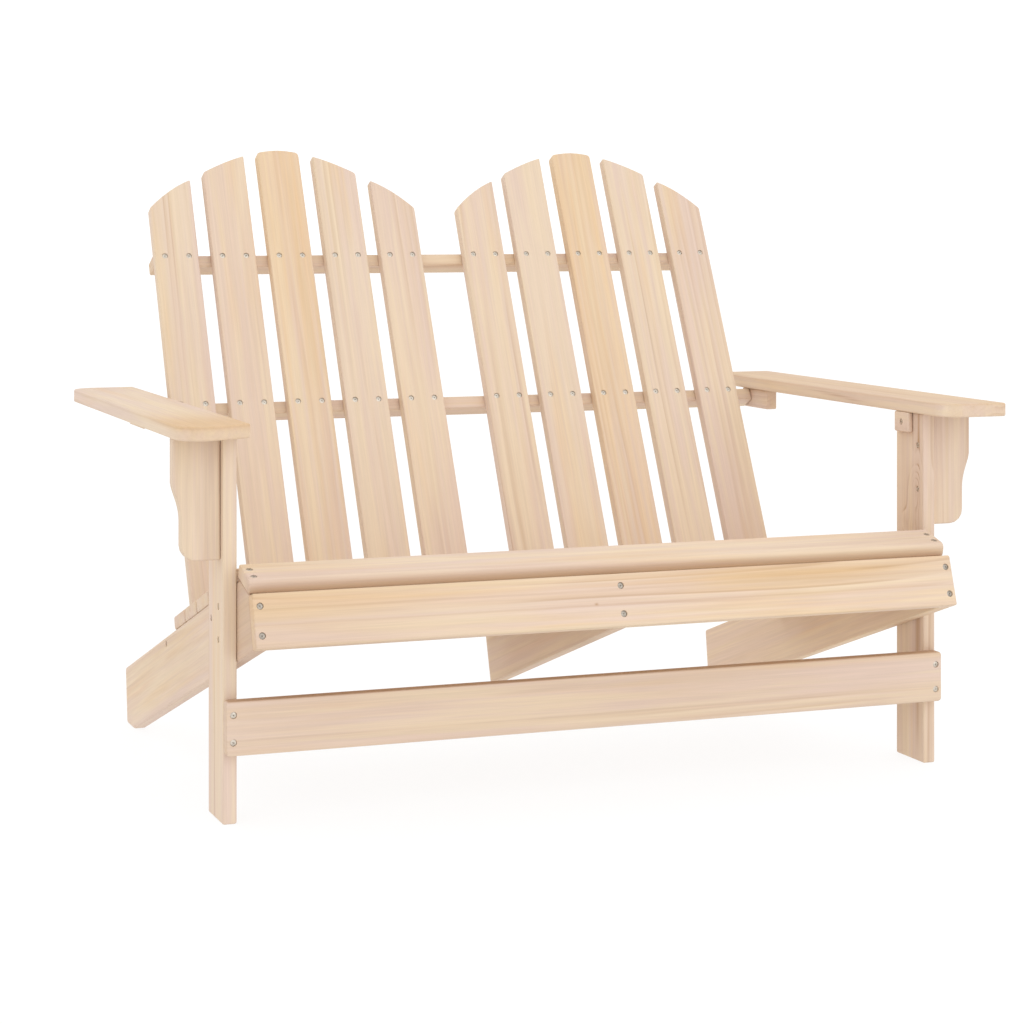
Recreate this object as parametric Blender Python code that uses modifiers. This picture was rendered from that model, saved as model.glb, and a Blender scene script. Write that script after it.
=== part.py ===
# Adirondack loveseat: a two-seat garden bench of screwed softwood boards.
#
# Metres, +Z up, +X to the right of someone who looks at its front, and the
# front towards -Y. The origin is the middle of the footprint, on the ground.
#
# Sloping stringers carry the seat and run down to the ground as rear legs.
# Two upright boards are the front legs and carry the arms. Ten raked back
# slats, cut along two arches, are screwed to rails behind them.

from math import atan2, cos, pi, radians, sin, tan

import bmesh
import bpy
from mathutils import Matrix, Vector

# Overall sizes
WIDTH = 1.195               # over the arms
DEPTH = 0.855               # from the apron's lower edge to the back's top edge
HEIGHT = 0.895              # to the crown of the arches
BOARD = 0.019               # thickness of every board
EDGE_ROUND = 0.0025         # radius of the eased edges of the boards
JOINT_GAP = 0.0003          # clearance where two pieces touch

# Front legs
ARM_OVERHANG = 0.0709       # from the arms' outer edges in to the legs' outer faces
LEG_DEPTH = 0.080
LEG_HEIGHT = 0.5045

# Board between the feet of the front legs
STRETCHER_HEIGHT = 0.071
STRETCHER_BOTTOM = 0.0922   # from the ground to its lower edge

# Stringers, which carry the seat
STRINGER_WIDTH = 0.098
STRINGER_FRONT = 0.0788     # how far their lower front corner stands before the legs
STRINGER_FRONT_HEIGHT = 0.2371
FOOT_SETBACK = 0.1282       # of the whole depth, what the lower edge doesn't run over
FOOT_LENGTH = 0.050
HEEL_LEAN = radians(8.0)    # backward lean of the rear end
NOSE_LENGTH = 0.0387        # stretch of the upper edge that the nose cut takes away
NOSE_DROP = 0.0255          # how far the nose cut lowers the front corner

# Board across the front of the stringers
APRON_HEIGHT = 0.071

# Seat slats
NOSE_SLAT_WIDTH = 0.056
NOSE_SLAT_ROUND = 0.008     # radius of the edge under the knees
SEAT_REAR_GAP = 0.0062      # between the rear slats
SEAT_FRONT_GAP = 0.0167     # between the others
SEAT_TO_BACK = 0.0296       # from the last slat to the back slats
REAR_SEAT_SLATS = 3
FRONT_SEAT_SLATS = 2

# Back slats
BACK_RAKE = radians(26.38)  # lean of the back from upright
BACK_SIDE_GAP = 0.0168      # between the outer slats and the stringers
BACK_SLAT_GAP = 0.0225
BACK_MIDDLE_GAP = 0.073     # between the two groups
SLATS_IN_GROUP = 5
SLAT_TOP_STEPS = 6          # straight runs that follow the arch on one slat
SLAT_LOW_CORNER = 0.007     # radius at the lower top corner of a slat
ARCH_DROP = 0.1035          # fall of an arch from its crown to its end
ARCH_POWER = 1.72           # 2 is a parabola, and less is more pointed
END_SLAT_SWELL = 0.0035     # how far the end slats' tops swell above the arch

# Rails behind the back slats
RAIL_HEIGHT = 0.020         # along the slats
RAIL_DEPTH = 0.0315         # behind the slats
TOP_RAIL_PLACE = 0.812      # up the slats, from the ground to the rail's middle
LOW_RAIL_DROP = 0.0097      # of its middle, below the stringers' upper edge
ARM_RAIL_SHORT = 0.0216     # of the legs' outer faces, at either end of the arm rail

# Arms
ARM_WIDTH = 0.099
ARM_REACH = 0.094           # how far the arm reaches behind the arm rail
ARM_CORNER = 0.034          # radius of the corners that are cut round
LEFT_ARM_FRONTS = (0.085, 0.035)    # outer and inner front corner, before the front leg
RIGHT_ARM_FRONTS = (0.080, 0.080)

# Brackets between the legs and the arms
BRACKET_WIDTH = 0.0635
BRACKET_HEIGHT = 0.1615
BRACKET_SETBACK = 0.0107    # from the front of the leg to the bracket
BRACKET_STRAIGHT = 0.0600   # straight upper stretch of the outer edge
BRACKET_CURVE = 0.050       # height of the curve under it
BRACKET_CURVE_POWER = 0.75  # 1 is an even S curve, and less turns in sooner
BRACKET_WAIST = 0.0115      # how far that curve draws in
BRACKET_CORNER = 0.020
BRACKET_CURVE_STEPS = 8
BRACKET_SCREW_SETBACK = 0.006           # from the front of the bracket to its screws

# Cleats under the arms
LEG_CLEAT_THICKNESS = 0.008
LEG_CLEAT_HEIGHT = 0.0295
LEG_CLEAT_LENGTH = 0.042
LEG_CLEAT_SETBACK = 0.0296
ARM_CLEAT_HEIGHT = 0.031
ARM_CLEAT_LENGTH = 0.090

# Countersunk screws
SCREW_HEAD_RADIUS = 0.0044
SCREW_RADIUS = 0.0022
SCREW_HEAD_RIM = 0.0006
SCREW_CONE = 0.0030
SCREW_POINT = 0.0040
SCREW_SINK = 0.0010         # depth of the head below the wood
LONG_SCREW = 0.045          # through one board into an end or an edge
SHORT_SCREW = 0.034         # through one board into the face of the next
CLEAT_SCREW = 0.022         # through a leg cleat into the leg
SCREW_CLEARANCE = 0.0003
SCREW_SIDES = 12
CUT_OVERRUN = 0.002
STRETCHER_SCREW_SPREAD = 0.0356
APRON_SCREW_SPREAD = 0.038
BRACKET_SCREW_SHARES = (0.287, 0.681)   # of the bracket's height, from its top
LEG_SCREW_SHARES = ((0.31, 0.75), (0.31, 0.33), (0.80, 0.67))  # of leg depth and stringer width

# How finely round shapes are drawn
CORNER_STEPS = 4
EDGE_STEPS = 2
EDGE_ANGLE = radians(40.0)  # flatter edges are left as they are
FLAT_ANGLE = radians(0.5)   # faces that meet flatter than this are one face
WELD_DISTANCE = 0.00005

# Colours of the wood and the screws
PALE_FIR = (0.815, 0.620, 0.465)
AMBER_FIR = (0.800, 0.580, 0.375)
ZINC = (0.620, 0.625, 0.640)
WOOD_ROUGHNESS = 0.62
ZINC_ROUGHNESS = 0.32
AMBER_BACK_SLATS = (3, 8)

# The two sides, as seen from the front
SIDES = (("left", -1), ("right", 1))

# Turns of a piece that is drawn flat
QUARTER = radians(90.0)
SEEN_FROM_ABOVE = (0.0, 0.0, 0.0)
SEEN_FROM_FRONT = (QUARTER, 0.0, 0.0)
SEEN_FROM_SIDE = (QUARTER, 0.0, QUARTER)

# Turns of a screw that is drawn pointing down
DRIVEN_BACK = (QUARTER, 0.0, 0.0)
DRIVEN_LEFT = (0.0, QUARTER, 0.0)
DRIVEN_RIGHT = (0.0, -QUARTER, 0.0)

# Widths, from the middle of the bench outwards
arm_outer = WIDTH / 2
arm_middle = arm_outer - ARM_WIDTH / 2
leg_outer = arm_outer - ARM_OVERHANG
leg_inner = leg_outer - BOARD
leg_middle = leg_outer - BOARD / 2
stringer_outer = leg_inner - JOINT_GAP
stringer_inner = stringer_outer - BOARD
stringer_middle = stringer_outer - BOARD / 2
seat_half = stringer_outer
back_half = stringer_inner - BACK_SIDE_GAP
arm_rail_half = leg_outer - ARM_RAIL_SHORT
eased_corner = 2 * EDGE_ROUND

# The slope of the stringers: their lower edge runs from the front corner to the foot
foot_start = DEPTH - FOOT_SETBACK - STRINGER_FRONT
slope = atan2(STRINGER_FRONT_HEIGHT, STRINGER_FRONT + foot_start)
nose_slope = atan2(NOSE_DROP, NOSE_LENGTH)
nose_height = STRINGER_WIDTH - NOSE_DROP


def rounded_reach(tilt):
    """How much shorter a square corner reaches once its edge is eased, with the board tilted."""
    return EDGE_ROUND * (cos(tilt) + sin(tilt) - 1)


def seat_point(y, z):
    """A place given by its distance behind the legs' front and its height, along and across the slope."""
    run = y + STRINGER_FRONT
    rise = z - STRINGER_FRONT_HEIGHT
    return run * cos(slope) - rise * sin(slope), run * sin(slope) + rise * cos(slope)


def behind_the_slats(depth, up):
    """A place given by its depth behind the slats' front and its way up them, along and across the slope."""
    y = back_start + depth * cos(BACK_RAKE) + up * sin(BACK_RAKE)
    z = up * cos(BACK_RAKE) - depth * sin(BACK_RAKE)
    return seat_point(y, z)


# The back: its crown stands at the full height, and its rear edge at the full depth
apron_reach = STRINGER_FRONT + (BOARD + JOINT_GAP) * cos(slope) - rounded_reach(slope)
crown = (HEIGHT + rounded_reach(BACK_RAKE)) / cos(BACK_RAKE)
back_lean = crown * sin(BACK_RAKE) + BOARD * cos(BACK_RAKE) - rounded_reach(BACK_RAKE)
back_start = DEPTH - apron_reach - back_lean
footprint_middle = DEPTH / 2 - apron_reach
rail_middle = BOARD + JOINT_GAP + RAIL_DEPTH / 2
rail_rear = BOARD + JOINT_GAP + RAIL_DEPTH
arm_rail_top = (LEG_HEIGHT + (BOARD + JOINT_GAP) * sin(BACK_RAKE)) / cos(BACK_RAKE)
arm_rail_rear = back_start + arm_rail_top * sin(BACK_RAKE) + rail_rear * cos(BACK_RAKE)

# The low rails lie just under the stringers' upper edge, and the slats end with them
_, rail_foot_rise = behind_the_slats(rail_middle, 0.0)
low_rail_place = (STRINGER_WIDTH - LOW_RAIL_DROP - rail_foot_rise) / cos(BACK_RAKE - slope)
slat_end = low_rail_place - RAIL_HEIGHT / 2
low_rail_corner, _ = behind_the_slats(rail_rear, low_rail_place + RAIL_HEIGHT / 2)


def clear_scene():
    for thing in list(bpy.data.objects):
        bpy.data.objects.remove(thing, do_unlink=True)


def new_collection(name):
    collection = bpy.data.collections.new(name)
    bpy.context.scene.collection.children.link(collection)
    return collection


def new_frame(name, parent, place, tilt):
    """An empty that carries the pieces which share one tilt."""
    frame = bpy.data.objects.new(name, None)
    frame.empty_display_size = BOARD
    frame.parent = parent
    frame.location = place
    frame.rotation_euler = (tilt, 0.0, 0.0)
    bench.objects.link(frame)
    return frame


def new_material(name, colour, roughness, metallic):
    material = bpy.data.materials.new(name)
    material.use_nodes = True
    shader = material.node_tree.nodes["Principled BSDF"]
    shader.inputs["Base Color"].default_value = (*colour, 1.0)
    shader.inputs["Roughness"].default_value = roughness
    shader.inputs["Metallic"].default_value = metallic
    return material


def rounded(corners):
    """The points of an outline whose corners, each (x, y, radius), are turned into arcs."""
    points = []
    for index, (x, y, radius) in enumerate(corners):
        corner = Vector((x, y))
        if radius <= 0:
            points.append(corner)
            continue
        following = corners[(index + 1) % len(corners)]
        arriving = (corner - Vector(corners[index - 1][:2])).normalized()
        leaving = (Vector(following[:2]) - corner).normalized()
        turn = arriving.angle_signed(leaving) * -1
        half = (pi - abs(turn)) / 2
        middle = corner + (leaving - arriving).normalized() * radius / sin(half)
        start = corner - arriving * radius / tan(half) - middle
        for step in range(CORNER_STEPS + 1):
            points.append(middle + Matrix.Rotation(turn * step / CORNER_STEPS, 2) @ start)
    return points


def ease_edges(board):
    bevel = board.modifiers.new("eased edges", "BEVEL")
    bevel.width = EDGE_ROUND
    bevel.segments = EDGE_STEPS
    bevel.limit_method = "ANGLE"
    bevel.angle_limit = EDGE_ANGLE


def finish(board, name, frame, place, colour):
    """Place a board on its frame and give it its edges and its wood."""
    board.parent = frame
    board.location = place
    ease_edges(board)
    board.data.materials.clear()
    board.data.materials.append(new_material(name + "_wood", colour, WOOD_ROUGHNESS, 0.0))
    return board


def sawn_board(name, size, frame, place, colour=PALE_FIR):
    """A board with square ends, of a size given along X, Y and Z."""
    mesh = bpy.data.meshes.new(name)
    shape = bmesh.new()
    bmesh.ops.create_cube(shape, size=1.0)
    bmesh.ops.scale(shape, vec=size, verts=shape.verts)
    shape.to_mesh(mesh)
    shape.free()
    board = bpy.data.objects.new(name, mesh)
    bench.objects.link(board)
    return finish(board, name, frame, place, colour)


def shaped_board(name, outline, thickness, turned, frame, place, colour=PALE_FIR):
    """A board cut to an outline, with half its thickness to either side of the drawing."""
    curve = bpy.data.curves.new(name, "CURVE")
    curve.dimensions = "2D"
    curve.fill_mode = "BOTH"
    curve.extrude = thickness / 2
    spline = curve.splines.new("POLY")
    spline.points.add(len(outline) - 1)
    for point, (x, y) in zip(spline.points, outline):
        point.co = (x, y, 0.0, 1.0)
    spline.use_cyclic_u = True
    drawing = bpy.data.objects.new(name + "_drawing", curve)
    drawing.rotation_euler = turned
    bench.objects.link(drawing)
    bpy.context.view_layer.update()
    graph = bpy.context.evaluated_depsgraph_get()
    mesh = bpy.data.meshes.new_from_object(drawing.evaluated_get(graph))
    mesh.name = name
    shape = bmesh.new()
    shape.from_mesh(mesh)
    bmesh.ops.remove_doubles(shape, verts=shape.verts, dist=WELD_DISTANCE)
    bmesh.ops.dissolve_limit(shape, angle_limit=FLAT_ANGLE, verts=shape.verts, edges=shape.edges)
    bmesh.ops.recalc_face_normals(shape, faces=shape.faces)
    shape.to_mesh(mesh)
    shape.free()
    board = bpy.data.objects.new(name, mesh)
    board.matrix_world = drawing.matrix_world
    bench.objects.link(board)
    bpy.data.objects.remove(drawing)
    return finish(board, name, frame, place, colour)


def turned_solid(name, profile, collection):
    """A solid turned about its own Z axis from (radius, height) points, top to bottom."""
    mesh = bpy.data.meshes.new(name)
    shape = bmesh.new()
    rings = [shape.verts.new((radius, 0.0, height)) for radius, height in profile]
    for upper, lower in zip(rings, rings[1:]):
        shape.edges.new((upper, lower))
    shape.to_mesh(mesh)
    shape.free()
    solid = bpy.data.objects.new(name, mesh)
    collection.objects.link(solid)
    turn = solid.modifiers.new("turn", "SCREW")
    turn.steps = SCREW_SIDES
    turn.render_steps = SCREW_SIDES
    turn.use_merge_vertices = True
    turn.merge_threshold = WELD_DISTANCE
    return solid


def screw_profile(length, top, play):
    """Half section of a countersunk screw; play widens it into the hole that it needs."""
    head = SCREW_HEAD_RADIUS + play
    shank = SCREW_RADIUS + play
    rim = -SCREW_SINK - SCREW_HEAD_RIM
    neck = rim - SCREW_CONE
    return (
        (0.0, top),
        (head, top),
        (head, rim),
        (shank, neck),
        (shank, SCREW_POINT - length),
        (0.0, -length - play),
    )


def drive_screw(name, length, frame, place, driven, boards):
    """A screw whose head lies just under the face at place, in a hole through the boards."""
    screw = turned_solid(name, screw_profile(length, -SCREW_SINK, 0.0), bench)
    screw.data.materials.append(zinc)
    hole = turned_solid(name + "_hole", screw_profile(length, CUT_OVERRUN, SCREW_CLEARANCE), cutters)
    hole.hide_render = True
    hole.display_type = "WIRE"
    for solid in (screw, hole):
        solid.parent = frame
        solid.location = place
        solid.rotation_euler = driven
    for board in boards:
        bore = board.modifiers.new(name, "BOOLEAN")
        bore.operation = "DIFFERENCE"
        bore.solver = "EXACT"
        bore.object = hole
    return screw


def stringer_edge_height(y):
    """Height of the stringers' lower edge at a distance behind the legs' front."""
    return STRINGER_FRONT_HEIGHT - (y + STRINGER_FRONT) * tan(slope)


def make_legs():
    legs = {}
    for side, sign in SIDES:
        size = (BOARD, LEG_DEPTH, LEG_HEIGHT)
        place = (sign * leg_middle, LEG_DEPTH / 2, LEG_HEIGHT / 2)
        legs[side] = sawn_board("leg_" + side, size, ground, place)
    return legs


def outer_stringer_outline():
    """An outer stringer from the side: square front, nose cut, straight back, heel and foot."""
    foot, _ = seat_point(foot_start, 0.0)
    heel, heel_rise = seat_point(foot_start + FOOT_LENGTH, 0.0)
    lean = HEEL_LEAN - slope
    heel_top = heel + (STRINGER_WIDTH - heel_rise) * tan(lean)
    return rounded((
        (0.0, 0.0, 0.0),
        (foot, 0.0, 0.0),
        (heel, heel_rise, eased_corner),
        (heel_top, STRINGER_WIDTH, eased_corner),
        (NOSE_LENGTH, STRINGER_WIDTH, 0.0),
        (0.0, nose_height, 0.0),
    ))


def middle_stringer_outline():
    """The middle stringer from the side: the same front, and a square end level with the low rails' rear."""
    return rounded((
        (0.0, 0.0, 0.0),
        (low_rail_corner, 0.0, eased_corner),
        (low_rail_corner, STRINGER_WIDTH, eased_corner),
        (NOSE_LENGTH, STRINGER_WIDTH, 0.0),
        (0.0, nose_height, 0.0),
    ))


def make_stringers():
    stringers = {}
    shapes = (
        ("left", -stringer_middle, outer_stringer_outline()),
        ("middle", 0.0, middle_stringer_outline()),
        ("right", stringer_middle, outer_stringer_outline()),
    )
    for side, x, outline in shapes:
        name = "stringer_" + side
        stringers[side] = shaped_board(name, outline, BOARD, SEEN_FROM_SIDE, seat, (x, 0.0, 0.0))
    return stringers


def make_stretcher():
    outline = rounded((
        (-leg_outer, 0.0, eased_corner),
        (leg_outer, 0.0, eased_corner),
        (leg_outer, STRETCHER_HEIGHT, eased_corner),
        (-leg_outer, STRETCHER_HEIGHT, eased_corner),
    ))
    place = (0.0, -JOINT_GAP - BOARD / 2, STRETCHER_BOTTOM)
    return shaped_board("front_stretcher", outline, BOARD, SEEN_FROM_FRONT, ground, place)


def make_apron():
    size = (2 * seat_half, BOARD, APRON_HEIGHT)
    place = (0.0, -JOINT_GAP - BOARD / 2, APRON_HEIGHT / 2)
    return sawn_board("front_apron", size, seat, place, AMBER_FIR)


def make_nose_slat():
    """The first seat slat lies on the nose cut, with a rounded edge under the knees."""
    outline = rounded((
        (0.0, 0.0, 0.0),
        (NOSE_SLAT_WIDTH, 0.0, 0.0),
        (NOSE_SLAT_WIDTH, BOARD, 0.0),
        (0.0, BOARD, NOSE_SLAT_ROUND),
    ))
    place = (0.0, 0.0, JOINT_GAP)
    return shaped_board("seat_slat_1", outline, 2 * seat_half, SEEN_FROM_SIDE, nose, place)


def seat_rear_edge():
    """Where the last seat slat ends, along the slope: short of the back slats' front faces."""
    start, rise = seat_point(back_start, 0.0)
    seat_top = STRINGER_WIDTH + JOINT_GAP + BOARD
    return start + (seat_top - rise) * tan(BACK_RAKE - slope) - SEAT_TO_BACK


def make_seat_slats():
    """The slats on the stringers' upper edges share what the gaps leave."""
    count = FRONT_SEAT_SLATS + REAR_SEAT_SLATS
    gaps = [SEAT_FRONT_GAP] * (FRONT_SEAT_SLATS + 1) + [SEAT_REAR_GAP] * (REAR_SEAT_SLATS - 1)
    width = (seat_rear_edge() - NOSE_LENGTH - sum(gaps)) / count
    edge = NOSE_LENGTH
    for index, gap in enumerate(gaps):
        edge += gap
        size = (2 * seat_half, width, BOARD)
        place = (0.0, edge + width / 2, STRINGER_WIDTH + JOINT_GAP + BOARD / 2)
        sawn_board("seat_slat_%d" % (index + 2), size, seat, place)
        edge += width


def arch_height(offset, half_span):
    """Height of an arch above the ground, up the slats, at an offset from its middle."""
    return crown - ARCH_DROP * (abs(offset) / half_span) ** ARCH_POWER


def slat_outline(offset, width, half_span, swell):
    """A back slat from the front: square foot, and a top that follows its arch and may swell above it."""
    corners = [(-width / 2, slat_end, eased_corner), (width / 2, slat_end, eased_corner)]
    for step in range(SLAT_TOP_STEPS + 1):
        x = width / 2 - width * step / SLAT_TOP_STEPS
        radius = 0.0
        if step in (0, SLAT_TOP_STEPS):
            outward = x * offset >= 0
            radius = SLAT_LOW_CORNER if outward else 0.0
        swollen = swell * (1 - (2 * x / width) ** 2)
        corners.append((x, arch_height(offset + x, half_span) + swollen, radius))
    return rounded(corners)


def make_back_slats():
    """Two groups of slats, each group under an arch of its own."""
    group_width = back_half - BACK_MIDDLE_GAP / 2
    width = (group_width - (SLATS_IN_GROUP - 1) * BACK_SLAT_GAP) / SLATS_IN_GROUP
    group_middle = (back_half + BACK_MIDDLE_GAP / 2) / 2
    number = 1
    for _, sign in SIDES:
        for index in range(SLATS_IN_GROUP):
            offset = (index - (SLATS_IN_GROUP - 1) / 2) * (width + BACK_SLAT_GAP)
            swell = END_SLAT_SWELL if index in (0, SLATS_IN_GROUP - 1) else 0.0
            outline = slat_outline(offset, width, group_width / 2, swell)
            place = (sign * group_middle + offset, BOARD / 2, 0.0)
            colour = AMBER_FIR if number in AMBER_BACK_SLATS else PALE_FIR
            shaped_board("back_slat_%d" % number, outline, BOARD, SEEN_FROM_FRONT, back, place, colour)
            number += 1


def make_rails():
    """Rails behind the slats: one near the top, one under the arms, and two between the stringers."""
    size = (2 * back_half, RAIL_DEPTH, RAIL_HEIGHT)
    sawn_board("back_rail_top", size, back, (0.0, rail_middle, TOP_RAIL_PLACE))
    size = (2 * arm_rail_half, RAIL_DEPTH, RAIL_HEIGHT)
    sawn_board("back_rail_arm", size, back, (0.0, rail_middle, arm_rail_top - RAIL_HEIGHT / 2))
    low_rails = {}
    inner = BOARD / 2 + JOINT_GAP
    outer = stringer_inner - JOINT_GAP
    for side, sign in SIDES:
        size = (outer - inner, RAIL_DEPTH, RAIL_HEIGHT)
        place = (sign * (inner + outer) / 2, rail_middle, low_rail_place)
        low_rails[side] = sawn_board("back_rail_low_" + side, size, back, place)
    return low_rails


def arm_outline(left_front, right_front):
    """An arm from above: both arms are cut round at their left-hand corners and square at the others."""
    half = ARM_WIDTH / 2
    rear = arm_rail_rear + ARM_REACH
    return rounded((
        (-half, -left_front, ARM_CORNER),
        (half, -right_front, eased_corner),
        (half, rear, eased_corner),
        (-half, rear, ARM_CORNER),
    ))


def make_arms():
    outer_front, inner_front = LEFT_ARM_FRONTS
    outlines = {"left": arm_outline(outer_front, inner_front)}
    outer_front, inner_front = RIGHT_ARM_FRONTS
    outlines["right"] = arm_outline(inner_front, outer_front)
    for side, sign in SIDES:
        place = (sign * arm_middle, 0.0, LEG_HEIGHT + JOINT_GAP + BOARD / 2)
        shaped_board("arm_" + side, outlines[side], BOARD, SEEN_FROM_ABOVE, ground, place)


def bracket_outline(sign):
    """A bracket from the front: straight, then drawn in by an S curve, then round at the foot."""
    curve_top = -BRACKET_STRAIGHT
    waist = BRACKET_WIDTH - BRACKET_WAIST
    corners = [(0.0, 0.0, 0.0), (BRACKET_WIDTH, 0.0, 0.0)]
    for step in range(BRACKET_CURVE_STEPS + 1):
        down = step / BRACKET_CURVE_STEPS
        draw = (1 - cos(pi * down ** BRACKET_CURVE_POWER)) / 2
        corners.append((BRACKET_WIDTH - BRACKET_WAIST * draw, curve_top - BRACKET_CURVE * down, 0.0))
    corners.append((waist, -BRACKET_HEIGHT, BRACKET_CORNER))
    corners.append((0.0, -BRACKET_HEIGHT, 0.0))
    return rounded([(sign * x, z, radius) for x, z, radius in corners])


def make_brackets():
    brackets = {}
    for side, sign in SIDES:
        place = (sign * (leg_outer + JOINT_GAP), BRACKET_SETBACK + BOARD / 2, LEG_HEIGHT)
        brackets[side] = shaped_board(
            "arm_bracket_" + side, bracket_outline(sign), BOARD, SEEN_FROM_FRONT, ground, place)
    return brackets


def make_leg_cleats():
    cleats = {}
    for side, sign in SIDES:
        size = (LEG_CLEAT_THICKNESS, LEG_CLEAT_LENGTH, LEG_CLEAT_HEIGHT)
        place = (
            sign * (leg_inner - JOINT_GAP - LEG_CLEAT_THICKNESS / 2),
            LEG_CLEAT_SETBACK + LEG_CLEAT_LENGTH / 2,
            LEG_HEIGHT - LEG_CLEAT_HEIGHT / 2,
        )
        cleats[side] = sawn_board("leg_cleat_" + side, size, ground, place)
    return cleats


def make_arm_cleats():
    """Cleats under the arms, against the ends of the arm rail."""
    for side, sign in SIDES:
        size = (BOARD, ARM_CLEAT_LENGTH, ARM_CLEAT_HEIGHT)
        place = (
            sign * (arm_rail_half + JOINT_GAP + BOARD / 2),
            arm_rail_rear - ARM_CLEAT_LENGTH / 2,
            LEG_HEIGHT - ARM_CLEAT_HEIGHT / 2,
        )
        sawn_board("arm_cleat_" + side, size, ground, place)


def drive_leg_screws(legs, stringers):
    for side, sign in SIDES:
        driven = DRIVEN_LEFT if sign > 0 else DRIVEN_RIGHT
        for number, (depth_share, width_share) in enumerate(LEG_SCREW_SHARES, 1):
            y = LEG_DEPTH * depth_share
            z = stringer_edge_height(y) + STRINGER_WIDTH / cos(slope) * width_share
            place = (sign * leg_outer, y, z)
            name = "screw_leg_%s_%d" % (side, number)
            drive_screw(name, SHORT_SCREW, ground, place, driven, (legs[side], stringers[side]))


def drive_stretcher_screws(legs, stretcher):
    middle = STRETCHER_BOTTOM + STRETCHER_HEIGHT / 2
    for side, sign in SIDES:
        for number, up in enumerate((1, -1), 1):
            place = (sign * leg_middle, -JOINT_GAP - BOARD, middle + up * STRETCHER_SCREW_SPREAD / 2)
            name = "screw_stretcher_%s_%d" % (side, number)
            drive_screw(name, LONG_SCREW, ground, place, DRIVEN_BACK, (stretcher, legs[side]))


def drive_apron_screws(stringers, apron):
    for side, x in (("left", -stringer_middle), ("middle", 0.0), ("right", stringer_middle)):
        for number, up in enumerate((1, -1), 1):
            place = (x, -JOINT_GAP - BOARD, APRON_HEIGHT / 2 + up * APRON_SCREW_SPREAD / 2)
            name = "screw_apron_%s_%d" % (side, number)
            drive_screw(name, LONG_SCREW, seat, place, DRIVEN_BACK, (apron, stringers[side]))


def drive_rail_screws(stringers, low_rails):
    for side, sign in SIDES:
        driven = DRIVEN_LEFT if sign > 0 else DRIVEN_RIGHT
        place = (sign * stringer_outer, rail_middle, low_rail_place)
        name = "screw_rail_" + side
        drive_screw(name, LONG_SCREW, back, place, driven, (stringers[side], low_rails[side]))


def drive_bracket_screws(legs, brackets):
    for side, sign in SIDES:
        driven = DRIVEN_RIGHT if sign > 0 else DRIVEN_LEFT
        for number, share in enumerate(BRACKET_SCREW_SHARES, 1):
            y = BRACKET_SETBACK + BRACKET_SCREW_SETBACK
            place = (sign * leg_inner, y, LEG_HEIGHT - BRACKET_HEIGHT * share)
            name = "screw_bracket_%s_%d" % (side, number)
            drive_screw(name, LONG_SCREW, ground, place, driven, (legs[side], brackets[side]))


def drive_cleat_screws(legs, cleats):
    for side, sign in SIDES:
        driven = DRIVEN_RIGHT if sign > 0 else DRIVEN_LEFT
        place = (
            sign * (leg_inner - JOINT_GAP - LEG_CLEAT_THICKNESS),
            LEG_CLEAT_SETBACK + LEG_CLEAT_LENGTH / 2,
            LEG_HEIGHT - LEG_CLEAT_HEIGHT / 2,
        )
        name = "screw_cleat_" + side
        drive_screw(name, CLEAT_SCREW, ground, place, driven, (cleats[side], legs[side]))


clear_scene()
bench = new_collection("adirondack_loveseat")
cutters = new_collection("cutters")
zinc = new_material("zinc", ZINC, ZINC_ROUGHNESS, 1.0)

# The frames: ground level, the slope of the seat, the nose cut, and the rake of the back
ground = new_frame("ground", None, (0.0, -footprint_middle, 0.0), 0.0)
seat = new_frame("seat", ground, (0.0, -STRINGER_FRONT, STRINGER_FRONT_HEIGHT), -slope)
nose = new_frame("nose", seat, (0.0, 0.0, nose_height), nose_slope)
back = new_frame("back", ground, (0.0, back_start, 0.0), -BACK_RAKE)

leg_boards = make_legs()
stringer_boards = make_stringers()
stretcher_board = make_stretcher()
apron_board = make_apron()
make_nose_slat()
make_seat_slats()
make_back_slats()
low_rail_boards = make_rails()
make_arms()
bracket_boards = make_brackets()
leg_cleat_boards = make_leg_cleats()
make_arm_cleats()

drive_leg_screws(leg_boards, stringer_boards)
drive_stretcher_screws(leg_boards, stretcher_board)
drive_apron_screws(stringer_boards, apron_board)
drive_rail_screws(stringer_boards, low_rail_boards)
drive_bracket_screws(leg_boards, bracket_boards)
drive_cleat_screws(leg_boards, leg_cleat_boards)
bpy.context.view_layer.update()
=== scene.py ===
# %% [markdown]
# # An Adirondack loveseat in raw fir
# This lesson dresses a garden bench that was first drawn as solid boards and then packed.
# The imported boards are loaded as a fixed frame. They are not moved. The lesson gives them
# their wood, sinks real screws into them, and sets up the light and the camera.

# %% Load the bench
import random
from math import atan2, cos, degrees, radians

import bpy
from mathutils import Matrix, Vector


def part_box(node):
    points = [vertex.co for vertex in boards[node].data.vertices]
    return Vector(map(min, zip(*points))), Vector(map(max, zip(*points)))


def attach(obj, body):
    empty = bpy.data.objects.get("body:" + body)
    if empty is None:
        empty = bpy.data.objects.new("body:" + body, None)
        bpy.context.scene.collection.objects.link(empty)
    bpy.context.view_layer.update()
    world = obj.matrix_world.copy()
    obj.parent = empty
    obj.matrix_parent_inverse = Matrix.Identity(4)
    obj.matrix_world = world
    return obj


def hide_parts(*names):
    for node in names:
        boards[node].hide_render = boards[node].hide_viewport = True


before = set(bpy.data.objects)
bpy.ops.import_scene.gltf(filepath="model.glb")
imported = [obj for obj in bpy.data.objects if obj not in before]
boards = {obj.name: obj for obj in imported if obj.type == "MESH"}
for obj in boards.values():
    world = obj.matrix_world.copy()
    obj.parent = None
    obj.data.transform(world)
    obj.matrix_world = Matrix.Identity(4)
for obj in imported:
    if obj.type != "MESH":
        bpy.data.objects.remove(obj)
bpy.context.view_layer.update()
print("packed pieces:", len(boards))

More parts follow.
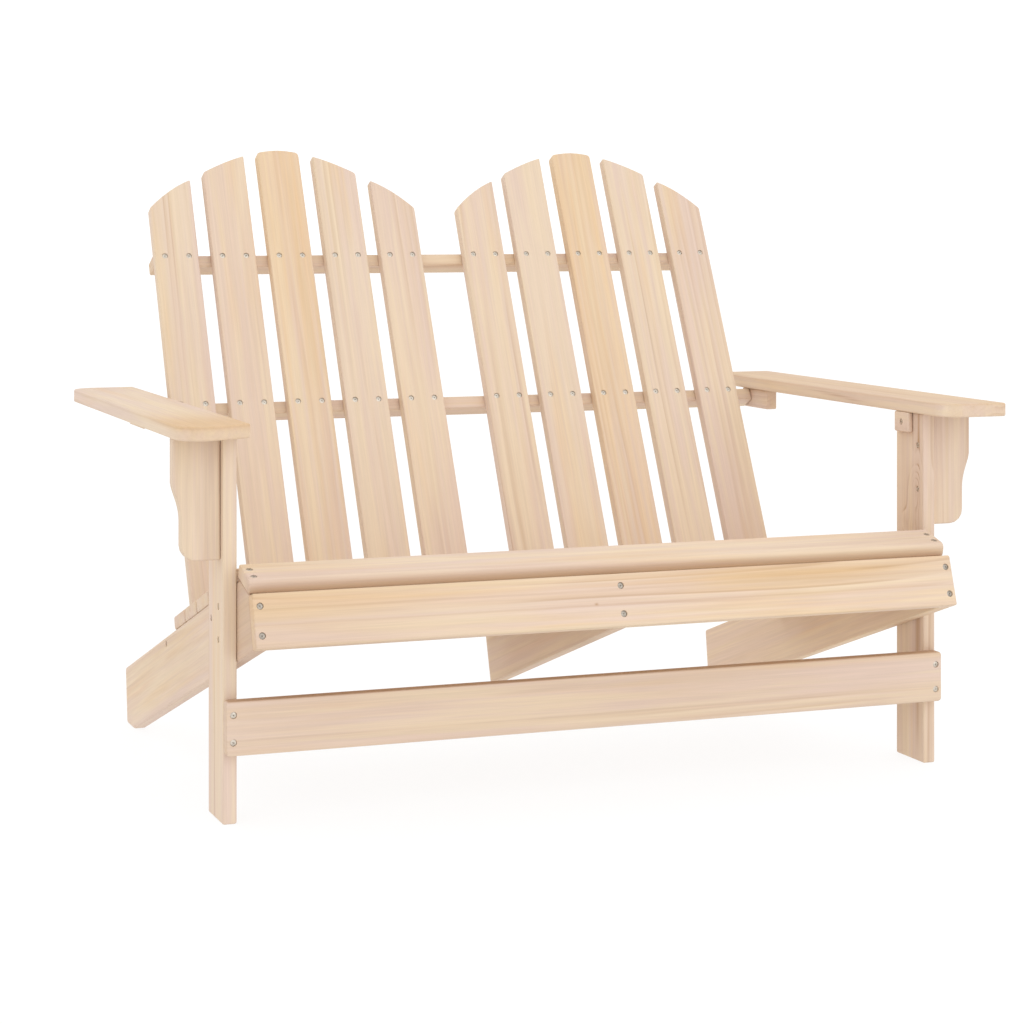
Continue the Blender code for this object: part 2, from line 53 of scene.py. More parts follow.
# %% [markdown]
# ## The angles of the bench
# Three things set every board's direction: the stringers slope down to the rear, the nose
# slat tips over them, and the back leans. Each of them gets a frame here, a matrix that
# carries a point of its own drawing to the room. Grain and screws follow these frames. Where
# the legs and the back stand could be typed in too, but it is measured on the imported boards,
# so that the screws meet the wood exactly.

# %% Frames of the sloping parts
QUARTER = radians(90.0)
STRINGER_FRONT = 0.0788        # from the legs' fronts to the stringers' lower front corner
STRINGER_FRONT_HEIGHT = 0.2371
STRINGER_WIDTH = 0.098
LOWER_EDGE_RUN = 0.7268        # from that corner back to the foot, along the floor
NOSE_LENGTH = 0.0387           # of the cut at the stringers' upper front corner
NOSE_DROP = 0.0255
BACK_RAKE = radians(26.38)     # from upright


def tilted(place, tilt):
    """A frame at a place, turned about the bench's long axis."""
    return Matrix.Translation(place) @ Matrix.Rotation(tilt, 4, "X")


def local_box(node, place_frame):
    """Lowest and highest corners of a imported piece, measured in a frame."""
    inverse = place_frame.inverted()
    turned = [inverse @ vertex.co for vertex in boards[node].data.vertices]
    corners = [[pick(point[axis] for point in turned) for axis in range(3)] for pick in (min, max)]
    return Vector(corners[0]), Vector(corners[1])


slope = atan2(STRINGER_FRONT_HEIGHT, LOWER_EDGE_RUN)
nose_tip = atan2(NOSE_DROP, NOSE_LENGTH)
front_of_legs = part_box("leg_left")[0].y
slat_faces = local_box("back_slat_1", tilted((0.0, front_of_legs, 0.0), -BACK_RAKE))[0].y
back_start = front_of_legs + slat_faces / cos(BACK_RAKE)

floor_frame = Matrix.Identity(4)
seat_frame = tilted((0.0, front_of_legs - STRINGER_FRONT, STRINGER_FRONT_HEIGHT), -slope)
nose_frame = seat_frame @ tilted((0.0, 0.0, STRINGER_WIDTH - NOSE_DROP), nose_tip)
back_frame = tilted((0.0, back_start, 0.0), -BACK_RAKE)
print("slope of the seat: %.2f degrees" % degrees(slope))

# %% [markdown]
# ## The camera
# The photograph looks level at the bench from the front left. Its lens was found by fitting
# the edges of the legs, arms and slats. The bench isn't centred, so the lens is shifted.

# %% Camera
PICTURE = 1024
SENSOR = 36.0
FOCAL_PIXELS = 2523.66
CENTRE = (531.74, 210.29)      # where the lens points, in pixels from the top left
EYE = (-1.31606, -3.53660, 0.79863)
HEADING = radians(-20.8145)

lens = bpy.data.cameras.new("photo_camera")
lens.sensor_width = SENSOR
lens.lens = FOCAL_PIXELS * SENSOR / PICTURE
lens.shift_x = (PICTURE / 2 - CENTRE[0]) / PICTURE
lens.shift_y = (CENTRE[1] - PICTURE / 2) / PICTURE
camera = bpy.data.objects.new("photo_camera", lens)
camera.location = EYE
camera.rotation_euler = (QUARTER, 0.0, HEADING)
bpy.context.scene.collection.objects.link(camera)
bpy.context.scene.camera = camera
print("lens: %.1f mm" % lens.lens)

# %% [markdown]
# ## Floor
# The bench stands in a white studio, as goods are photographed for a shop. A floor that is
# only painted white would be grey round the bench, which shades it. So the paint here is
# dark and glows instead: it looks white, and it takes only a faint shadow.

# %% Floor
FLOOR_SIZE = 60.0
FLOOR_ALBEDO = 0.12
FLOOR_ROUGHNESS = 0.9
FLOOR_GLOW = 0.86
WHITE = (1.0, 1.0, 1.0, 1.0)


def glowing_paint(name, albedo, roughness, glow):
    """A grey paint that glows white, for what isn't part of the bench."""
    material = bpy.data.materials.new(name)
    material.use_nodes = True
    shader = material.node_tree.nodes["Principled BSDF"]
    shader.inputs["Base Color"].default_value = (albedo, albedo, albedo, 1.0)
    shader.inputs["Roughness"].default_value = roughness
    shader.inputs["Emission Color"].default_value = WHITE
    shader.inputs["Emission Strength"].default_value = glow
    return material


bpy.ops.object.select_all(action="DESELECT")
bpy.ops.mesh.primitive_plane_add(size=FLOOR_SIZE)
floor = bpy.context.object
floor.name = "floor"
floor.data.materials.append(glowing_paint("floor_paint", FLOOR_ALBEDO, FLOOR_ROUGHNESS, FLOOR_GLOW))
print("floor: %.0f m wide" % FLOOR_SIZE)

# %% [markdown]
# ## Light
# A bright sky lights the bench from all sides, and the floor glows a little less, so tops
# come out brightest and undersides stay warm and dark without going black. A key lamp from
# above would be the usual choice, but in the photograph the slats grow darker towards their
# lower ends. That happens when the light comes in low from the front and the seat stands in
# its way, so the one large lamp here is low and far forward.

# %% Sky and lamp
SKY_STRENGTH = 1.13
LAMP_POWER = 10.0
LAMP_SIZE = 2.2
LAMP_PLACE = Vector((0.5, -2.9, 1.5))
LAMP_AIM = Vector((0.0, 0.0, 0.4))

sky = bpy.data.worlds.new("studio")
sky.use_nodes = True
sky.node_tree.nodes["Background"].inputs["Color"].default_value = WHITE
sky.node_tree.nodes["Background"].inputs["Strength"].default_value = SKY_STRENGTH
bpy.context.scene.world = sky

softbox = bpy.data.lights.new("softbox", "AREA")
softbox.energy = LAMP_POWER
softbox.size = LAMP_SIZE
lamp = bpy.data.objects.new("softbox", softbox)
lamp.location = LAMP_PLACE
lamp.rotation_euler = (LAMP_AIM - LAMP_PLACE).to_track_quat("-Z", "Y").to_euler()
bpy.context.scene.collection.objects.link(lamp)
bpy.context.scene.view_settings.view_transform = "Standard"
print("lamp: %.2f m from the seat" % (LAMP_AIM - LAMP_PLACE).length)

# %% [markdown]
# ## Small helpers for materials
# A material is a chain of nodes. These helpers add one node at a time and join it to the
# ones before it, so that each recipe further down reads from top to bottom.

# %% Node helpers
MIX_INPUTS = (0, 6, 7)         # share and both colours, on a Mix node that mixes colours
MIX_RESULT = 2


def add_node(tree, kind, inputs=None, **settings):
    """A new node, with its settings made and its inputs set or joined."""
    made = tree.nodes.new(kind)
    for name, value in settings.items():
        setattr(made, name, value)
    for name, value in (inputs or {}).items():
        if isinstance(value, bpy.types.NodeSocket):
            tree.links.new(value, made.inputs[name])
        else:
            made.inputs[name].default_value = value
    return made


def math_node(tree, operation, *values):
    """The result of a sum on numbers or sockets."""
    inputs = dict(enumerate(values))
    return add_node(tree, "ShaderNodeMath", inputs, operation=operation).outputs[0]


def vector_math(tree, operation, *values):
    """A node for a sum on vectors, whose result is a vector or a value."""
    inputs = dict(enumerate(values))
    return add_node(tree, "ShaderNodeVectorMath", inputs, operation=operation)


def mix_colours(tree, share, first, second, blend="MIX"):
    """Two colours mixed by a share from 0 to 1."""
    inputs = dict(zip(MIX_INPUTS, (share, first, second)))
    made = add_node(tree, "ShaderNodeMix", inputs, data_type="RGBA", blend_type=blend)
    return made.outputs[MIX_RESULT]


def fade(tree, value, low, high, low_out=0.0, high_out=1.0):
    """A value carried smoothly from one range to another."""
    inputs = {"Value": value, "From Min": low, "From Max": high, "To Min": low_out, "To Max": high_out}
    return add_node(tree, "ShaderNodeMapRange", inputs, interpolation_type="SMOOTHSTEP").outputs[0]


# %% [markdown]
# ## Fir
# Raw, planed fir is pale and a little pink. Soft bands of straw and amber run along every
# board, and a few of them end in a thin brown line. One could paint lines on each face, but
# then the end of a board wouldn't match its side. So the recipe works like a tree: it
# measures how far each point lies from the heart of the log, and every face and end of the
# board shows the same rings.


# %% Where a point lies in its board
def board_point(tree, middle, turn, seed):
    """A point from its board's middle, X along the grain; the same in the log; and its normal."""
    coordinates = add_node(tree, "ShaderNodeTexCoord")
    inputs = {"Vector": coordinates.outputs["Object"], "Location": middle, "Rotation": turn.to_euler("XYZ")}
    settle = add_node(tree, "ShaderNodeMapping", inputs, vector_type="TEXTURE")
    in_log = vector_math(tree, "ADD", settle.outputs[0], seed).outputs[0]
    return settle.outputs[0], in_log, coordinates.outputs["Normal"]


def stretched_noise(tree, place, repeats, detail, rough):
    """Noise drawn out along the grain, in repeats per metre, along it and across it."""
    drawn = vector_math(tree, "MULTIPLY", place, repeats).outputs[0]
    inputs = {"Vector": drawn, "Scale": 1.0, "Detail": detail, "Roughness": rough}
    return add_node(tree, "ShaderNodeTexNoise", inputs)


# %% [markdown]
# ## Rings and knots
# The heart of a log is never quite straight, and wide rings of good years lie beside narrow
# ones, so noise bends the log and shifts the count of its rings. Where a branch once grew,
# the rings bend round it. A knot is therefore a smooth hill that is added to the count.

# %% Growth rings
BENDS = ((1.3, 6.0, 6.0), 1.5, 0.5)        # noise: repeats per metre, detail, roughness
BEND_REACH = (0.0, 0.034, 0.034)
NOISE_MIDDLE = (0.5, 0.5, 0.5)
ALONG_SHARE = (0.06, 1.0, 1.0)     # rings change little along the grain
YEARS = ((0.3, 30.0, 30.0), 1.0, 0.5)      # noise of good and poor years
YEAR_SHIFT = 2.4               # rings that it shifts the count by


def hill(tree, point, centre, spread):
    """1 at the centre, falling smoothly to 0 a few spreads away."""
    away = vector_math(tree, "SUBTRACT", point, centre).outputs[0]
    away = vector_math(tree, "DIVIDE", away, spread).outputs[0]
    distance = vector_math(tree, "LENGTH", away).outputs["Value"]
    squared = math_node(tree, "MULTIPLY", distance, distance)
    return math_node(tree, "EXPONENT", math_node(tree, "MULTIPLY", squared, -1.0))


def count_rings(tree, point, in_log, heart, rings_per_metre, knots):
    """How many rings lie between the heart of the log and a point."""
    bend = stretched_noise(tree, in_log, *BENDS).outputs["Color"]
    bend = vector_math(tree, "SUBTRACT", bend, NOISE_MIDDLE).outputs[0]
    bend = vector_math(tree, "MULTIPLY", bend, BEND_REACH).outputs[0]
    bent = vector_math(tree, "ADD", point, bend).outputs[0]
    from_heart = vector_math(tree, "SUBTRACT", bent, heart).outputs[0]
    from_heart = vector_math(tree, "MULTIPLY", from_heart, ALONG_SHARE).outputs[0]
    radius = vector_math(tree, "LENGTH", from_heart).outputs["Value"]
    years = stretched_noise(tree, in_log, *YEARS).outputs[0]
    count = math_node(tree, "MULTIPLY", radius, rings_per_metre)
    count = math_node(tree, "MULTIPLY_ADD", years, YEAR_SHIFT, count)
    for centre, spread, rings, _ in knots:
        count = math_node(tree, "MULTIPLY_ADD", hill(tree, point, centre, spread), rings, count)
    return count


# %% [markdown]
# ## Colours of the wood
# One tone for all boards would look like moulded plastic. Each board is mixed from one
# family of woods instead: its early and its late wood. Clouds of pink, straw and amber lie
# under the rings, wide ones and narrow ones. One noise gives up to three clouds that don't
# agree, one in each of its colour channels.

# %% Families of wood
WOODS = {                      # early and late wood
    "pale": ((0.735, 0.590, 0.452, 1.0), (0.600, 0.425, 0.280, 1.0)),
    "rosy": ((0.715, 0.555, 0.430, 1.0), (0.585, 0.405, 0.275, 1.0)),
    # The next two families are darker copies of the pale one: painted shade for boards that stand in shade.
    "tan": ((0.690, 0.532, 0.408, 1.0), (0.570, 0.400, 0.265, 1.0)),
    "shaded_dusky": ((0.645, 0.495, 0.382, 1.0), (0.535, 0.372, 0.250, 1.0)),
    "straw": ((0.735, 0.580, 0.425, 1.0), (0.605, 0.415, 0.250, 1.0)),
    "amber": ((0.735, 0.555, 0.380, 1.0), (0.620, 0.400, 0.205, 1.0)),
}
PINK = (0.705, 0.548, 0.458, 1.0)
STRAW = (0.760, 0.612, 0.440, 1.0)
AMBER = (0.720, 0.485, 0.255, 1.0)
# The brown of thin lines in the grain, also used to paint shade in some streaks below.
LINE_AND_SHADE = (0.430, 0.250, 0.130, 1.0)
KNOT = (0.300, 0.150, 0.075, 1.0)
print("families of wood:", ", ".join(WOODS))

# %% Clouds under the rings
NOISES = {                     # repeats per metre along and across the grain, detail, roughness
    "bands": ((0.9, 50.0, 50.0), 2.0, 0.5),
    "calm": ((2.2, 16.0, 16.0), 1.0, 0.5),
    "wide": ((2.4, 32.0, 32.0), 2.0, 0.5),
    "narrow": ((3.0, 110.0, 110.0), 2.0, 0.5),
    "flow": ((3.0, 240.0, 240.0), 2.0, 0.6),
    "fibres": ((14.0, 900.0, 900.0), 2.0, 0.6),
}
CLOUDS = (                     # noise, channel, where the cloud starts and is full, share, tint
    ("wide", "Red", 0.40, 0.64, 0.90, PINK),
    ("wide", "Green", 0.44, 0.66, 0.80, STRAW),
    ("wide", "Blue", 0.52, 0.74, 0.35, AMBER),
    ("narrow", "Red", 0.45, 0.70, 0.60, PINK),
    ("narrow", "Green", 0.50, 0.72, 0.60, STRAW),
)


def clouded(tree, colour, noises):
    """A colour with wide and narrow clouds of other tints over it."""
    for kind, channel, start, full, share, tint in CLOUDS:
        split = add_node(tree, "ShaderNodeSeparateColor", {"Color": noises[kind].outputs["Color"]})
        strength = fade(tree, split.outputs[channel], start, full, 0.0, share)
        colour = mix_colours(tree, strength, colour, tint)
    return colour


print("noises: %d, clouds: %d" % (len(NOISES), len(CLOUDS)))

# %% [markdown]
# ## Rings, streaks and ends
# The rings are soft, and only where a band of noise allows it does a ring end in a thin
# line. Streaks that belong to one board lie over them as smooth hills of colour, some of
# them painted shade, and so does the dark eye of a knot. The ends are darker, because cut
# fibres drink the light, and fine fibres run over everything.

# %% Rings and lines
SWELL = (0.05, 0.62, 0.68, 1.0)    # shares of a ring's width: it starts, is full, fades, ends
THIN = (0.62, 0.84, 0.88, 1.0)     # the same for the line at its outer edge
SWELL_BANDS = (0.36, 0.64, 0.04, 0.30)     # low and high noise, and the strength at each
SWELL_CALM = (0.36, 0.60, 0.20, 1.0)
THIN_BANDS = (0.46, 0.64, 0.04, 1.0)
THIN_CALM = (0.40, 0.58, 0.10, 1.0)


def ring_shape(tree, ring, start, full, fades, end):
    """The strength of a ring over its width: it rises, stays and falls."""
    rise = fade(tree, ring, start, full)
    fall = fade(tree, ring, fades, end, 1.0, 0.0)
    return math_node(tree, "MULTIPLY", rise, fall)


def ringed(tree, colour, late, ring, swell, noises, lines):
    """A colour with soft rings of late wood and thin lines over it."""
    bands = noises["bands"].outputs[0]
    calm = noises["calm"].outputs[0]
    depth = math_node(tree, "MULTIPLY", fade(tree, bands, *SWELL_BANDS), fade(tree, calm, *SWELL_CALM))
    colour = mix_colours(tree, math_node(tree, "MULTIPLY", swell, depth), colour, late)
    thin = ring_shape(tree, ring, *THIN)
    thin = math_node(tree, "MULTIPLY", thin, fade(tree, bands, *THIN_BANDS))
    thin = math_node(tree, "MULTIPLY", thin, fade(tree, calm, *THIN_CALM))
    return mix_colours(tree, math_node(tree, "MULTIPLY", thin, lines), colour, LINE_AND_SHADE)


# %% Streaks, ends and fibres
END_FACING = (0.55, 0.90)      # how squarely a face meets the grain, from side to end
END_SHARE = 0.30
FIBRE_SHADE = (0.25, 0.75, 0.97, 1.03)     # low and high noise, and the brightness at each
FLOW_SHADE = (0.30, 0.70, 0.975, 1.025)


def streaked(tree, colour, point, streaks):
    """A colour with smooth hills over it, each at (centre, spread, share, tint)."""
    for centre, spread, share, tint in streaks:
        strength = math_node(tree, "MULTIPLY", hill(tree, point, centre, spread), share)
        colour = mix_colours(tree, strength, colour, tint)
    return colour


def darker_ends(tree, colour, late, normal, turn):
    """A colour that turns to late wood on the ends of a board."""
    along = turn @ Vector((1.0, 0.0, 0.0))
    facing = vector_math(tree, "DOT_PRODUCT", normal, along).outputs["Value"]
    end = fade(tree, math_node(tree, "ABSOLUTE", facing), *END_FACING)
    return mix_colours(tree, math_node(tree, "MULTIPLY", end, END_SHARE), colour, late)


def fibrous(tree, colour, fibres, flow):
    """A colour with fine lighter and darker fibres in it."""
    shade = math_node(tree, "MULTIPLY", fade(tree, fibres, *FIBRE_SHADE), fade(tree, flow, *FLOW_SHADE))
    grey = add_node(tree, "ShaderNodeCombineColor", {"Red": shade, "Green": shade, "Blue": shade})
    return mix_colours(tree, 1.0, colour, grey.outputs[0], "MULTIPLY")


# %% [markdown]
# ## The whole recipe
# Everything above comes together in one material for each board. Planed softwood has hardly
# any gloss. Its fibres roughen it a little and stand out as a light bump, and the late wood
# stands a trace higher than the early wood.

# %% Fir
EYE_SHARE = 0.22               # of a knot's spread, for its dark eye
FIBRE_ROUGHNESS = (0.2, 0.8, 0.70, 0.56)
GLOSS = 0.20
SWELL_HEIGHT = 0.3             # beside the fibres' 1
BUMP = 0.25
BUMP_HEIGHT = 0.0003


def fir(name, middle, turn, seed, heart, family, lines, rings, knots, streaks):
    """Planed fir, with rings, clouds and streaks of its own for every board."""
    material = bpy.data.materials.new(name)
    material.use_nodes = True
    tree = material.node_tree
    shader = tree.nodes["Principled BSDF"]
    point, in_log, normal = board_point(tree, middle, turn, seed)
    ring = math_node(tree, "FRACT", count_rings(tree, point, in_log, heart, rings, knots))
    swell = ring_shape(tree, ring, *SWELL)
    noises = {kind: stretched_noise(tree, in_log, *settings) for kind, settings in NOISES.items()}
    fibres = noises["fibres"].outputs[0]
    eyes = [
        (centre, [EYE_SHARE * side for side in spread], share, KNOT)
        for centre, spread, _, share in knots]

    early, late = WOODS[family]
    colour = clouded(tree, early, noises)
    colour = ringed(tree, colour, late, ring, swell, noises, lines)
    colour = streaked(tree, colour, point, streaks + eyes)
    colour = darker_ends(tree, colour, late, normal, turn)
    colour = fibrous(tree, colour, fibres, noises["flow"].outputs[0])
    tree.links.new(colour, shader.inputs["Base Color"])
    tree.links.new(fade(tree, fibres, *FIBRE_ROUGHNESS), shader.inputs["Roughness"])
    shader.inputs["Specular IOR Level"].default_value = GLOSS
    height = math_node(tree, "MULTIPLY_ADD", swell, SWELL_HEIGHT, fibres)
    bump = add_node(tree, "ShaderNodeBump", {"Height": height, "Strength": BUMP, "Distance": BUMP_HEIGHT})
    tree.links.new(bump.outputs[0], shader.inputs["Normal"])
    return material


# %% [markdown]
# ## Which way each board's grain runs
# A maker cuts every board with its grain along its length. The longest side of a board's
# box would tell that way, but not for the many boards that slope. So the table below says
# for each kind of board in which frame it lies and which way its length points.

# %% Grain of every board
along_x = Matrix.Identity(3)
along_y = Matrix.Rotation(QUARTER, 3, "Z")
along_z = Matrix.Rotation(-QUARTER, 3, "Y")
seat_turn = seat_frame.to_3x3()
nose_turn = nose_frame.to_3x3()
back_turn = back_frame.to_3x3()
GRAIN = (
    ("leg_cleat", along_y),
    ("arm_cleat", along_y),
    ("arm_bracket", along_z),
    ("arm_", along_y),
    ("leg_", along_z),
    ("front_stretcher", along_x),
    ("front_apron", seat_turn @ along_x),
    ("stringer", seat_turn @ along_y),
    ("seat_slat_1", nose_turn @ along_x),
    ("seat_slat", seat_turn @ along_x),
    ("back_slat", back_turn @ along_z),
    ("back_rail", back_turn @ along_x),
)


def grain_of(name):
    """The way a board's length points, from the first start of a name that fits."""
    return next(turn for start, turn in GRAIN if name.startswith(start))


wooden = sorted(name for name in boards if not name.startswith("screw_"))
print("wooden boards:", len(wooden))

# %% [markdown]
# ## What sets single boards apart
# No two boards of the bench look the same. The apron and the middle slats of both groups are
# more amber, and the left leg and the left stringer are rosier. The boards in the shade get a
# deeper tan or the darkest family, which is painted shade. The right leg has knots on its inner
# face. The apron is amber along its upper half, with a brown streak near its right end and a
# small dark mark. Painted shade darkens the nose slat along its front edge under the knees, the
# top of the front stretcher, the front end of the left stringer, the whole middle stringer, the
# lower ends of the back slats and the top of the right arm. Painting a picture of each board
# would be one way. Here a board has only its family, the strength of its lines and a few hills
# of colour.

# %% Families, lines and rings of single boards
FAMILIES = {
    "front_apron": "amber",
    "back_slat_3": "amber",
    "back_slat_8": "amber",
    "back_slat_10": "rosy",
    "leg_left": "rosy",
    # The tan and the darkest family paint shade on the boards that stand in shade.
    "leg_right": "tan",
    "stringer_left": "rosy",
    "stringer_middle": "tan",
    "stringer_right": "tan",
    "front_stretcher": "tan",
    "arm_bracket_left": "shaded_dusky",
    "arm_bracket_right": "shaded_dusky",
    "arm_left": "pale",
    "arm_right": "pale",
    "seat_slat_1": "rosy",
}
BOARD_LINES = {
    "front_apron": 0.40,
    "front_stretcher": 0.25,
    "leg_right": 0.90,
    "arm_bracket_left": 0.10,
    "stringer_left": 0.10,
    "stringer_right": 0.35,
    "back_slat_3": 0.10,
    "back_slat_4": 0.15,
    "back_slat_5": 0.15,
    "back_slat_8": 0.12,
    "back_slat_10": 0.12,
}
RINGS = {"leg_right": 60.0, "stringer_right": 45.0, "stringer_middle": 50.0}     # per metre
KNOTS = {                      # centre and spread from the board's middle, rings bent, eye's share
    "leg_right": [
        ((0.136, -0.018, 0.0), (0.036, 0.016, 0.03), 5.0, 0.35),
        ((0.076, -0.014, 0.0), (0.034, 0.017, 0.03), 4.5, 0.10),
        ((0.093, 0.016, 0.0), (0.016, 0.010, 0.03), 1.2, 0.20),
    ],
}
print("boards with a family of their own:", len(FAMILIES))

# %% Streaks of single boards
EVERYWHERE = 10.0              # a spread that fades nowhere on a board


def streak(place, offset, length, width, share, tint):
    """A streak along a board: its place along the grain and its offset on Z, from the middle."""
    return (place, 0.0, offset), (length, EVERYWHERE, width), share, tint


def lengthwise_streak(offset, width, share, tint=LINE_AND_SHADE):
    """A streak that runs the whole length of a board: a line in the grain, or painted shade."""
    return streak(0.0, offset, EVERYWHERE, width, share, tint)


def stretch(place, length, share, tint):
    """A stretch of a board that is toned over its whole width."""
    return streak(place, 0.0, length, EVERYWHERE, share, tint)


STREAKS = {
    "front_apron": [
        stretch(-0.42, 0.20, 0.15, LINE_AND_SHADE),
        streak(-0.40, 0.023, 0.26, 0.0130, 0.50, AMBER),
        streak(-0.24, -0.004, 0.26, 0.0090, 0.35, PINK),
        streak(0.20, 0.024, 0.20, 0.0120, 0.45, AMBER),
        streak(0.31, 0.019, 0.14, 0.0110, 0.26, LINE_AND_SHADE),
        streak(0.33, 0.019, 0.13, 0.0080, 0.35, AMBER),
        streak(0.52, 0.020, 0.12, 0.0200, 0.30, PINK),
        streak(0.36, 0.023, 0.090, 0.0050, 0.30, AMBER),
        streak(0.395, 0.0235, 0.040, 0.0022, 0.30, LINE_AND_SHADE),
        lengthwise_streak(-0.006, 0.0012, 0.16),
        lengthwise_streak(0.014, 0.0016, 0.16),
        streak(-0.038, -0.0043, 0.0026, 0.0016, 0.70, LINE_AND_SHADE),
    ],
    "front_stretcher": [
        # Painted shade: a dark line along the top face, which the seat shades.
        lengthwise_streak(0.0358, 0.0013, 0.75),
        lengthwise_streak(-0.016, 0.0012, 0.14),
        stretch(0.0, 0.40, 0.09, LINE_AND_SHADE),
    ],
    "back_slat_2": [streak(0.38, -0.010, 0.08, 0.009, 0.30, AMBER)],
    "back_slat_3": [
        stretch(0.33, 0.22, 0.30, AMBER),
        streak(0.27, -0.021, 0.14, 0.0050, 0.45, AMBER),
        streak(0.18, 0.013, 0.08, 0.0035, 0.35, AMBER),
    ],
    "back_slat_8": [
        stretch(0.30, 0.22, 0.26, AMBER),
        streak(0.26, -0.020, 0.13, 0.0050, 0.40, AMBER),
    ],
    # Painted shade at the lower end, in the shade of the right arm and the seat.
    "back_slat_10": [stretch(-0.42, 0.22, 0.22, LINE_AND_SHADE)],
    "arm_left": [
        streak(-0.33, 0.0095, 0.15, 0.0060, 0.68, AMBER),
        streak(-0.33, 0.0095, 0.10, 0.0050, 0.16, LINE_AND_SHADE),
        stretch(-0.36, 0.06, 0.18, AMBER),
        lengthwise_streak(0.0066, 0.0014, 0.16),
    ],
    "arm_right": [
        # Painted shade: the top face is darkened, which tones down the sheen of the sky on it.
        lengthwise_streak(0.0095, 0.0025, 0.22),
        lengthwise_streak(0.0095, 0.0025, 0.25, AMBER),
        streak(-0.06, 0.0, 0.045, 0.0016, 0.45, LINE_AND_SHADE),
        streak(-0.01, 0.0030, 0.050, 0.0010, 0.35, LINE_AND_SHADE),
        streak(-0.11, -0.0030, 0.030, 0.0012, 0.35, LINE_AND_SHADE),
    ],
    "leg_right": [
        ((0.134, -0.018, 0.0), (0.028, 0.016, EVERYWHERE), 0.14, LINE_AND_SHADE),
        ((0.082, -0.012, 0.0), (0.026, 0.022, EVERYWHERE), 0.18, LINE_AND_SHADE),
        stretch(-0.15, 0.13, 0.12, LINE_AND_SHADE),
    ],
    "stringer_left": [
        # Painted shade at the front end, under the left arm and the nose slat.
        stretch(-0.40, 0.12, 0.38, LINE_AND_SHADE),
        stretch(0.05, 0.25, 0.10, LINE_AND_SHADE),
    ],
    # Painted shade over the whole board, which stands under the seat.
    "stringer_middle": [stretch(0.0, EVERYWHERE, 0.13, LINE_AND_SHADE)],
    "stringer_right": [stretch(0.0, EVERYWHERE, 0.22, AMBER)],
    "seat_slat_1": [
        # Painted shadow along the lower front edge, where the slat meets the apron, and painted shade that
        # dims the highlight on the front.
        ((0.0, -0.028, -0.0095), (EVERYWHERE, 0.012, 0.0100), 0.52, LINE_AND_SHADE),
        ((0.0, -0.030, 0.0), (EVERYWHERE, 0.008, 0.0090), 0.12, LINE_AND_SHADE),
    ],
}
# Painted shade at the lower end of every back slat, where the seat keeps the light off.
SHADED_LOWER_END = stretch(-0.45, 0.30, 0.10, LINE_AND_SHADE)       # of every back slat
print("boards with streaks of their own:", len(STREAKS))

# %% [markdown]
# ## A log for every board
# What a board doesn't share with the others is drawn by chance: its place in the log, how
# far the heart lies from it, its family, its lines and its rings. The board's name starts
# the draw, so it comes out the same each time.

# %% Dress the boards
LOG_REACH = 40.0               # how far a board's place in the noise may lie, either way
HEART_ASIDE = 0.06             # the most that the heart lies off the board's middle, on its Y
HEART_AWAY = (0.03, 0.10)      # the least and the most of that, on its Z
USUAL_WOODS = ("pale", "rosy", "straw")
USUAL_LINES = (0.18, 0.36)
USUAL_RINGS = (75.0, 115.0)    # per metre


def wood_for(name):
    """A piece of fir for one board, cut from its own place in a log."""
    chance = random.Random(name)
    seed = [chance.uniform(-LOG_REACH, LOG_REACH) for _ in range(3)]
    aside = chance.uniform(-HEART_ASIDE, HEART_ASIDE)
    away = chance.choice((-1, 1)) * chance.uniform(*HEART_AWAY)
    family = FAMILIES.get(name, chance.choice(USUAL_WOODS))
    lines = BOARD_LINES.get(name, chance.uniform(*USUAL_LINES))
    rings = RINGS.get(name, chance.uniform(*USUAL_RINGS))
    streaks = STREAKS.get(name, []) + ([SHADED_LOWER_END] if name.startswith("back_slat") else [])
    low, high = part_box(name)
    return fir(
        name + "_fir", (low + high) / 2, grain_of(name), seed, (0.0, aside, away),
        family, lines, rings, KNOTS.get(name, []), streaks)


for name in wooden:
    wood = wood_for(name)
    for slot in boards[name].material_slots:
        slot.material = wood
print("boards dressed:", len(wooden))

# %% [markdown]
# ## Softer shading
# A packed board is a mesh of loose flat triangles, so its eased edges and the round ends of
# the arms would show facets. The mesh itself stays as it is. Instead, a modifier joins the
# triangles and shades them smooth, and a second one weighs the large faces most, which
# keeps them flat while the narrow edges between them catch a soft light.

# %% A modifier that joins and smooths
SHARP = radians(50.0)          # edges with a larger angle stay hard
MERGE = 0.00005                # corners that lie closer are joined
LARGE_FACES_FIRST = 100


def smoothing_group():
    """A node group that merges loose triangles and shades all but sharp edges smooth."""
    group = bpy.data.node_groups.new("smooth_boards", "GeometryNodeTree")
    group.interface.new_socket("Geometry", in_out="INPUT", socket_type="NodeSocketGeometry")
    group.interface.new_socket("Geometry", in_out="OUTPUT", socket_type="NodeSocketGeometry")
    start = group.nodes.new("NodeGroupInput").outputs[0]
    merged = add_node(group, "GeometryNodeMergeByDistance", {"Geometry": start, "Distance": MERGE})
    inputs = {"Geometry": merged.outputs[0], "Shade Smooth": True}
    smooth = add_node(group, "GeometryNodeSetShadeSmooth", inputs)
    angle = add_node(group, "GeometryNodeInputMeshEdgeAngle").outputs[0]
    inputs = {0: angle, 1: SHARP}
    soft = add_node(group, "FunctionNodeCompare", inputs, data_type="FLOAT", operation="LESS_THAN")
    inputs = {"Geometry": smooth.outputs[0], "Shade Smooth": soft.outputs[0]}
    edges = add_node(group, "GeometryNodeSetShadeSmooth", inputs, domain="EDGE")
    group.links.new(edges.outputs[0], group.nodes.new("NodeGroupOutput").inputs[0])
    return group


